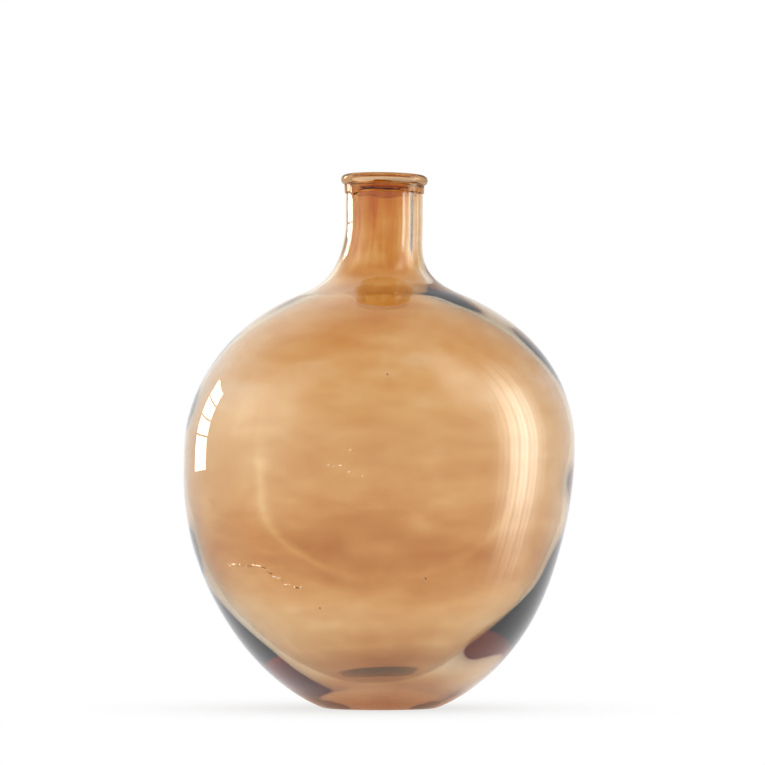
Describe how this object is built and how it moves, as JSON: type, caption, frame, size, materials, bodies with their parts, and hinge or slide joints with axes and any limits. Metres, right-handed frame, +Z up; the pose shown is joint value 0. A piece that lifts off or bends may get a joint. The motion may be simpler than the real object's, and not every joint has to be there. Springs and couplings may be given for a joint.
{
  "type": "bottle vase",
  "caption": "Large free-standing bottle vase: round clear-glass body lined with a see-through amber coating, short narrow neck and a rounded lip.",
  "frame": {"origin": "on the ground under the middle of the body", "axes": "+Z up along the body, +X towards the side that the neck leans to, -Y towards the viewer"},
  "size_m": [0.4099, 0.41, 0.56],
  "materials": {
    "clear_glass": "clear, glossy, slightly uneven, with a few seeds",
    "lip_glass": "amber by the coating behind it, glossy, fire-polished",
    "amber_coating": "see-through amber lacquer, cloudy where it is sprayed thicker"
  },
  "bodies": {
    "root": {"glass_bottle": "clear_glass", "applied_lip": "lip_glass", "amber_coating": "amber_coating"}
  },
  "joints": []
}
